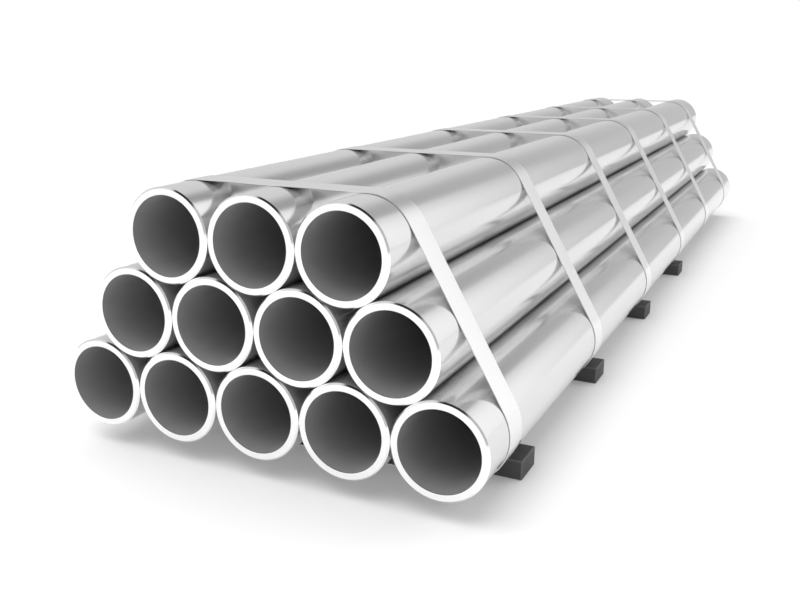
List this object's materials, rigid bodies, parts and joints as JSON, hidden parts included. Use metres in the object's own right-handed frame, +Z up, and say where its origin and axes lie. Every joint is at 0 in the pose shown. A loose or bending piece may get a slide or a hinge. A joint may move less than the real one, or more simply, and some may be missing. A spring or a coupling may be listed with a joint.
{
  "type": "stack of steel tubes",
  "caption": "Stack of heavy-wall polished round steel tubes in nested rows, held by flat steel straps and lying on dark rubber cross bearers.",
  "frame": {"origin": "centre of the stack's footprint, on the floor under the bearers", "axes": "+Y along the tubes, from the end with the first strap close to it towards the far end; +Z up; +X across the stack"},
  "size_m": [1.1008, 4, 0.6483],
  "materials": {
    "tube_steel": "mirror polished",
    "strap_steel": "satin",
    "bearer_rubber": "matt, moulded"
  },
  "bodies": {
    "root": {"tube_bottom_1": "tube_steel", "tube_bottom_2": "tube_steel", "tube_bottom_3": "tube_steel", "tube_bottom_4": "tube_steel", "tube_bottom_5": "tube_steel", "tube_middle_1": "tube_steel", "tube_middle_2": "tube_steel", "tube_middle_3": "tube_steel", "tube_middle_4": "tube_steel", "tube_top_1": "tube_steel", "tube_top_2": "tube_steel", "tube_top_3": "tube_steel", "strap_1": "strap_steel", "strap_2": "strap_steel", "strap_3": "strap_steel", "strap_4": "strap_steel", "strap_5": "strap_steel", "strap_6": "strap_steel", "bearer_1": "bearer_rubber", "bearer_2": "bearer_rubber", "bearer_3": "bearer_rubber", "bearer_4": "bearer_rubber"}
  },
  "joints": []
}
